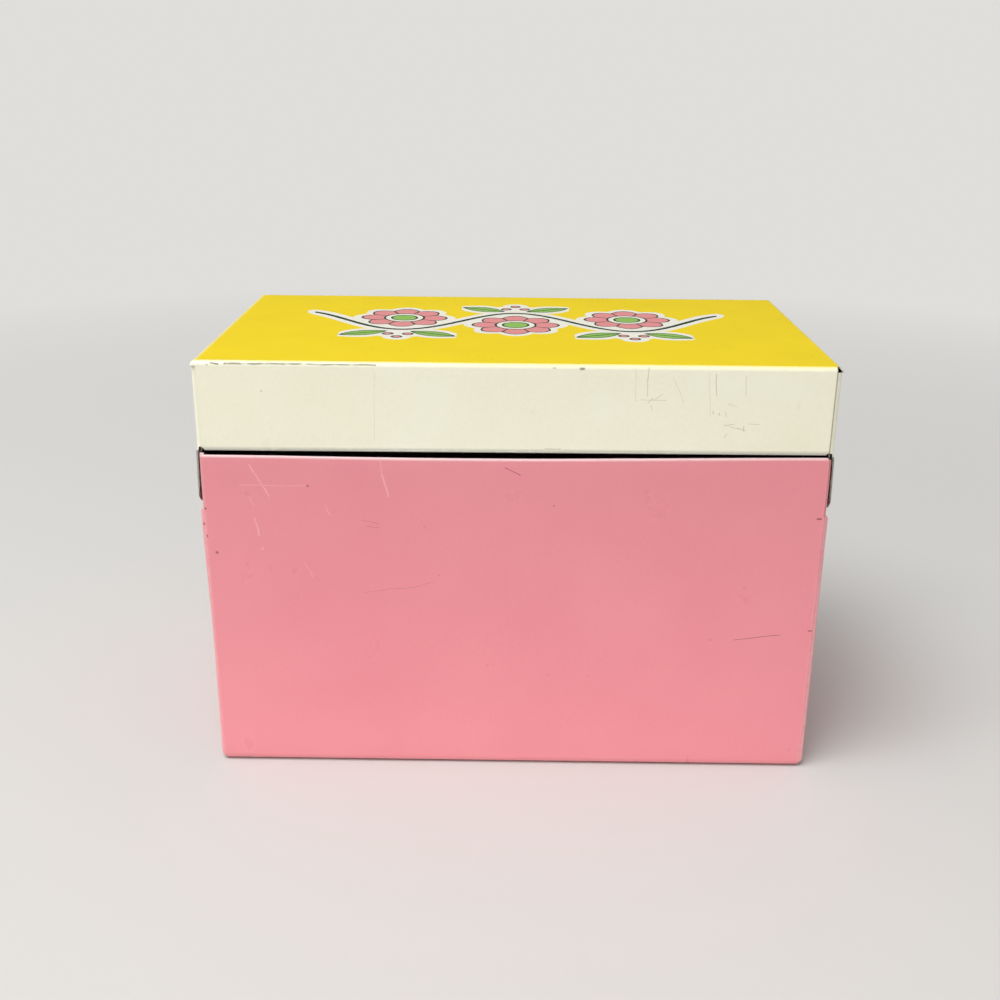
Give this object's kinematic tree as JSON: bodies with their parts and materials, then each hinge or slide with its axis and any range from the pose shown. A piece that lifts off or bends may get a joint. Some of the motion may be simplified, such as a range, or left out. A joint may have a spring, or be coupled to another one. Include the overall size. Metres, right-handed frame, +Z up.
{
  "type": "recipe tin",
  "caption": "Rectangular sheet-metal tin for upright cards, with a hemmed lid that swings back on side ears, and a plain flat base.",
  "frame": {"origin": "middle of the flat underside that the tin stands on", "axes": "+Z up out of the box, +X along its width, -Y out of the hinged rear wall and +Y out of the front wall"},
  "size_m": [0.136, 0.076, 0.0951],
  "materials": {
    "pink_enamel": "gloss",
    "cream_enamel": "gloss",
    "bare_tinplate": "satin"
  },
  "bodies": {
    "body": {"body_wrap": "pink_enamel", "left_end_panel": "pink_enamel", "right_end_panel": "pink_enamel", "left_hinge_rivet": "bare_tinplate", "right_hinge_rivet": "bare_tinplate"},
    "lid": {"lid": "cream_enamel"}
  },
  "joints": [
    {"name": "lid_hinge", "type": "hinge", "parent": "body", "child": "lid", "pos_m": [0, -0.0325, 0.0701], "axis": [1, 0, 0], "range_deg": [0, 93]}
  ]
}
